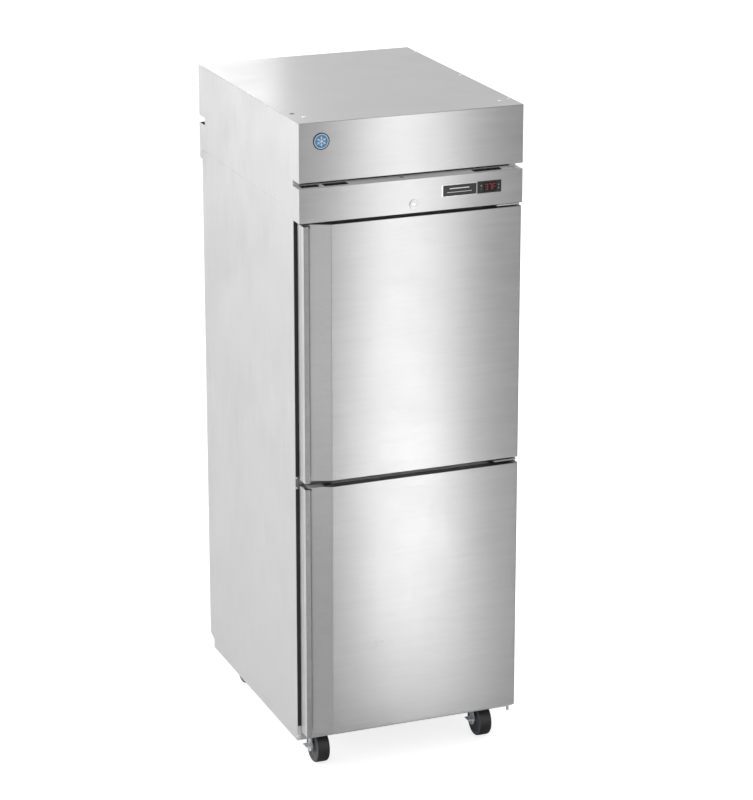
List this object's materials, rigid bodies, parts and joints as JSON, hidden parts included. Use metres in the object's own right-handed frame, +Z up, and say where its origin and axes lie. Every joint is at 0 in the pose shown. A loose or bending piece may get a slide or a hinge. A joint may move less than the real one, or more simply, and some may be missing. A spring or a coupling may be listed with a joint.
{
  "type": "reach-in refrigerator",
  "caption": "Tall upright stainless refrigerator with stacked half doors, full-height edge pulls, a hooded top machine compartment and swivel casters.",
  "frame": {"origin": "centre of the footprint, on the floor under the wheels", "axes": "+Z up, the doors face -Y, +X towards the hinge side"},
  "size_m": [0.6984, 0.901, 2.0193],
  "materials": {
    "brushed_steel": "brushed stainless steel with a fine horizontal grain",
    "side_steel": "light grey, matt, finely grained stainless side skins",
    "zinc_steel": "zinc-plated steel, dull silver",
    "liner_steel": "stainless compartment lining, satin",
    "shelf_wire": "epoxy-coated steel wire, pale grey",
    "insulating_foam": "rigid polyurethane foam, pale yellow, never seen",
    "gasket_rubber": "black magnetic door gasket",
    "black_plastic": "black moulded plastic",
    "black_paint": "black enamelled steel",
    "aluminium": "bare aluminium",
    "chrome": "bright chromed lock parts",
    "wheel_rubber": "black solid caster tread"
  },
  "bodies": {
    "cabinet": {"front_frame": "brushed_steel", "mullion": "brushed_steel", "hood_top_panel": "brushed_steel", "hood_front_panel": "brushed_steel", "control_panel": "brushed_steel", "side_panel_left": "side_steel", "side_panel_right": "side_steel", "hood_side_left": "side_steel", "hood_side_right": "side_steel", "rear_panel": "zinc_steel", "base_pan": "zinc_steel", "cabinet_top_panel": "zinc_steel", "shelf_rack_left": "zinc_steel", "shelf_rack_right": "zinc_steel", "hinge_bracket_top": "zinc_steel", "hinge_bracket_middle": "zinc_steel", "hinge_bracket_bottom": "zinc_steel", "rear_hood_cover": "zinc_steel", "condenser_fan_motor": "zinc_steel", "compartment_liner": "liner_steel", "evaporator_housing": "liner_steel", "shelf_lower": "shelf_wire", "shelf_middle": "shelf_wire", "shelf_upper": "shelf_wire", "insulation_foam": "insulating_foam", "controller_housing": "black_plastic", "power_cord_gland": "black_plastic", "compressor": "black_paint", "condenser_coil": "black_paint", "evaporator_coil": "aluminium", "lock_body": "chrome"},
    "upper_door": {"upper_door_skin": "brushed_steel", "upper_door_foam_core": "insulating_foam", "upper_door_grip": "brushed_steel", "upper_door_liner": "liner_steel", "upper_door_gasket": "gasket_rubber", "upper_hinge_cartridge": "black_plastic"},
    "lower_door": {"lower_door_skin": "brushed_steel", "lower_door_foam_core": "insulating_foam", "lower_door_grip": "brushed_steel", "lower_door_liner": "liner_steel", "lower_door_gasket": "gasket_rubber", "lower_hinge_cartridge": "black_plastic"},
    "key_set": {"key_set": "black_plastic"},
    "key_defrost": {"key_defrost": "black_plastic"},
    "key_up": {"key_up": "black_plastic"},
    "key_down": {"key_down": "black_plastic"},
    "lock_plug": {"lock_plug_and_cam": "chrome"},
    "evaporator_fan": {"evaporator_fan": "black_plastic"},
    "condenser_fan": {"condenser_fan": "aluminium"},
    "swivel_front_left": {"caster_fork_front_left": "zinc_steel"},
    "wheel_front_left": {"caster_wheel_front_left": "wheel_rubber"},
    "swivel_front_right": {"caster_fork_front_right": "zinc_steel"},
    "wheel_front_right": {"caster_wheel_front_right": "wheel_rubber"},
    "swivel_rear_left": {"caster_fork_rear_left": "zinc_steel"},
    "wheel_rear_left": {"caster_wheel_rear_left": "wheel_rubber"},
    "swivel_rear_right": {"caster_fork_rear_right": "zinc_steel"},
    "wheel_rear_right": {"caster_wheel_rear_right": "wheel_rubber"},
    "brake_front_left": {"brake_pedal_front_left": "zinc_steel"},
    "brake_front_right": {"brake_pedal_front_right": "zinc_steel"}
  },
  "joints": [
    {"name": "upper_door_hinge", "type": "hinge", "parent": "cabinet", "child": "upper_door", "pos_m": [0.335, -0.423, 1.3], "axis": [0, 0, 1], "range_deg": [0, 120]},
    {"name": "lower_door_hinge", "type": "hinge", "parent": "cabinet", "child": "lower_door", "pos_m": [0.335, -0.423, 0.5], "axis": [0, 0, 1], "range_deg": [0, 120]},
    {"name": "swivel_front_left", "type": "hinge", "parent": "cabinet", "child": "swivel_front_left", "pos_m": [-0.2685, -0.322, 0.11], "axis": [0, 0, 1], "continuous": true},
    {"name": "roll_front_left", "type": "hinge", "parent": "swivel_front_left", "child": "wheel_front_left", "pos_m": [-0.2685, -0.36, 0.0508], "axis": [1, 0, 0], "continuous": true},
    {"name": "brake_front_left", "type": "hinge", "parent": "swivel_front_left", "child": "brake_front_left", "pos_m": [-0.2685, -0.36, 0.0508], "axis": [1, 0, 0], "range_deg": [0, 25]},
    {"name": "swivel_front_right", "type": "hinge", "parent": "cabinet", "child": "swivel_front_right", "pos_m": [0.2685, -0.322, 0.11], "axis": [0, 0, 1], "continuous": true},
    {"name": "roll_front_right", "type": "hinge", "parent": "swivel_front_right", "child": "wheel_front_right", "pos_m": [0.2685, -0.36, 0.0508], "axis": [1, 0, 0], "continuous": true},
    {"name": "brake_front_right", "type": "hinge", "parent": "swivel_front_right", "child": "brake_front_right", "pos_m": [0.2685, -0.36, 0.0508], "axis": [1, 0, 0], "range_deg": [0, 25]},
    {"name": "swivel_rear_left", "type": "hinge", "parent": "cabinet", "child": "swivel_rear_left", "pos_m": [-0.2685, 0.332, 0.11], "axis": [0, 0, 1], "continuous": true},
    {"name": "roll_rear_left", "type": "hinge", "parent": "swivel_rear_left", "child": "wheel_rear_left", "pos_m": [-0.2685, 0.294, 0.0508], "axis": [1, 0, 0], "continuous": true},
    {"name": "swivel_rear_right", "type": "hinge", "parent": "cabinet", "child": "swivel_rear_right", "pos_m": [0.2685, 0.332, 0.11], "axis": [0, 0, 1], "continuous": true},
    {"name": "roll_rear_right", "type": "hinge", "parent": "swivel_rear_right", "child": "wheel_rear_right", "pos_m": [0.2685, 0.294, 0.0508], "axis": [1, 0, 0], "continuous": true},
    {"name": "press_key_set", "type": "slide", "parent": "cabinet", "child": "key_set", "axis": [0, 1, 0], "range_m": [0, 0.0008], "stiffness_N_per_m": 300},
    {"name": "press_key_defrost", "type": "slide", "parent": "cabinet", "child": "key_defrost", "axis": [0, 1, 0], "range_m": [0, 0.0008], "stiffness_N_per_m": 300},
    {"name": "press_key_up", "type": "slide", "parent": "cabinet", "child": "key_up", "axis": [0, 1, 0], "range_m": [0, 0.0008], "stiffness_N_per_m": 300},
    {"name": "press_key_down", "type": "slide", "parent": "cabinet", "child": "key_down", "axis": [0, 1, 0], "range_m": [0, 0.0008], "stiffness_N_per_m": 300},
    {"name": "lock_turn", "type": "hinge", "parent": "cabinet", "child": "lock_plug", "pos_m": [0.004, -0.438, 1.7512], "axis": [0, 1, 0], "range_deg": [0, 90]},
    {"name": "evaporator_fan_spin", "type": "hinge", "parent": "cabinet", "child": "evaporator_fan", "pos_m": [0, -0.11, 1.515], "axis": [0, 0, 1], "continuous": true},
    {"name": "condenser_fan_spin", "type": "hinge", "parent": "cabinet", "child": "condenser_fan", "pos_m": [-0.09, -0.258, 1.875], "axis": [0, 1, 0], "continuous": true}
  ]
}
